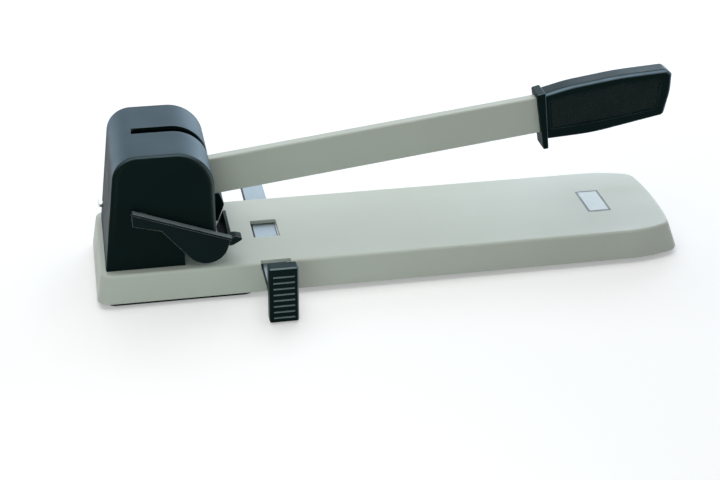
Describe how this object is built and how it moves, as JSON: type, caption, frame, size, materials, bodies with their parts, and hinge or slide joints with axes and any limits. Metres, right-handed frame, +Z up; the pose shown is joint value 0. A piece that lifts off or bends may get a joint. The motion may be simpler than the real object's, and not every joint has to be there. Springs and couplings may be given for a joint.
{
  "type": "long-lever two-hole paper punch",
  "caption": "Heavy manual paper punch: long lever with grip, geared punch head under a cover, sprung paper clamps, sliding paper guide, long base.",
  "frame": {"origin": "on the standing surface, under the middle of the overall box", "axes": "+X from the head towards the base's nose, +Z up, -Y the side with the paper guide's stop"},
  "size_m": [0.5074, 0.21, 0.157],
  "materials": {
    "cream_cast": "cream enamel on die-cast aluminium",
    "cream_sheet": "cream enamel on folded steel",
    "black_cover": "fine grained black moulding",
    "black_grip": "black moulding with a chequered panel",
    "black_clamp": "satin black enamel",
    "black_rest": "black moulding",
    "black_stop": "semi gloss black moulding",
    "black_lid": "black moulding",
    "cream_die": "cream enamel on a steel plate with bare bores",
    "steel_ruler": "brushed bright steel",
    "steel_sheet": "zinc plated sheet",
    "steel_hard": "hardened and ground steel",
    "cast_frame": "cast iron, dark primer",
    "steel_gear": "oiled gear steel",
    "steel_spring": "spring steel",
    "zinc_bolt": "bright zinc",
    "bronze": "sintered bronze",
    "foot_rubber": "soft black rubber"
  },
  "bodies": {
    "base": {"arm_rest": "black_rest", "base_casting": "cream_cast", "clamp_spring_far": "steel_spring", "clamp_spring_near": "steel_spring", "cover_screw": "zinc_bolt", "die_plate": "cream_die", "frame_bolts": "zinc_bolt", "front_foot_far": "foot_rubber", "front_foot_near": "foot_rubber", "guide_bracket": "steel_sheet", "guide_post_far": "steel_hard", "guide_post_near": "steel_hard", "guide_spring": "steel_spring", "head_cover": "black_cover", "paper_stop": "steel_sheet", "post_clip_far": "steel_spring", "post_clip_near": "steel_spring", "punch_bush_far": "bronze", "punch_bush_near": "bronze", "punch_frame": "cast_frame", "return_spring_far": "steel_spring", "return_spring_near": "steel_spring", "shaft_bush_far": "bronze", "shaft_bush_near": "bronze"},
    "lever": {"lever_arm": "cream_sheet", "lever_shaft": "steel_hard", "hub_spacer": "steel_sheet", "gear_pins": "steel_hard", "grip": "black_grip", "grip_screw": "zinc_bolt", "grip_nut": "steel_sheet", "drive_gear_near": "steel_gear", "drive_gear_far": "steel_gear", "shaft_clip_near": "steel_spring", "shaft_clip_far": "steel_spring"},
    "crosshead": {"crosshead": "cast_frame", "punch_pin_near": "steel_hard", "punch_pin_far": "steel_hard"},
    "clamp_near": {"clamp_arm_near": "black_clamp", "clamp_clip_near": "steel_spring"},
    "clamp_far": {"clamp_arm_far": "black_clamp", "clamp_clip_far": "steel_spring"},
    "paper_guide": {"guide_ruler": "steel_ruler", "guide_stop": "black_stop", "guide_screws": "zinc_bolt"},
    "chip_lid": {"chip_lid": "black_lid", "rear_foot_near": "foot_rubber", "rear_foot_far": "foot_rubber"}
  },
  "joints": [
    {"name": "lever_hinge", "type": "hinge", "parent": "base", "child": "lever", "pos_m": [-0.1987, 0, 0.085], "axis": [0, -1, 0], "range_deg": [0, 80]},
    {"name": "crosshead_slide", "type": "slide", "parent": "base", "child": "crosshead", "axis": [0, 0, 1], "range_m": [0, 0.021], "deforming": ["return_spring_near", "return_spring_far"]},
    {"name": "clamp_near_hinge", "type": "hinge", "parent": "base", "child": "clamp_near", "pos_m": [-0.2137, -0.052, 0.0762], "axis": [0, -1, 0], "range_deg": [0, 16], "stiffness_Nm_per_rad": 0.4, "springref_deg": -28.65},
    {"name": "clamp_far_hinge", "type": "hinge", "parent": "base", "child": "clamp_far", "pos_m": [-0.2137, 0.052, 0.0762], "axis": [0, -1, 0], "range_deg": [0, 16], "stiffness_Nm_per_rad": 0.4, "springref_deg": -28.65},
    {"name": "guide_slide", "type": "slide", "parent": "base", "child": "paper_guide", "axis": [0, -1, 0], "range_m": [-0.0315, 0.085]},
    {"name": "lid_slide", "type": "slide", "parent": "base", "child": "chip_lid", "axis": [-1, 0, 0], "range_m": [0, 0.012]}
  ],
  "couplings": [
    {"joint": "crosshead_slide", "follows": "lever_hinge", "m_per_rad": 0.015}
  ]
}
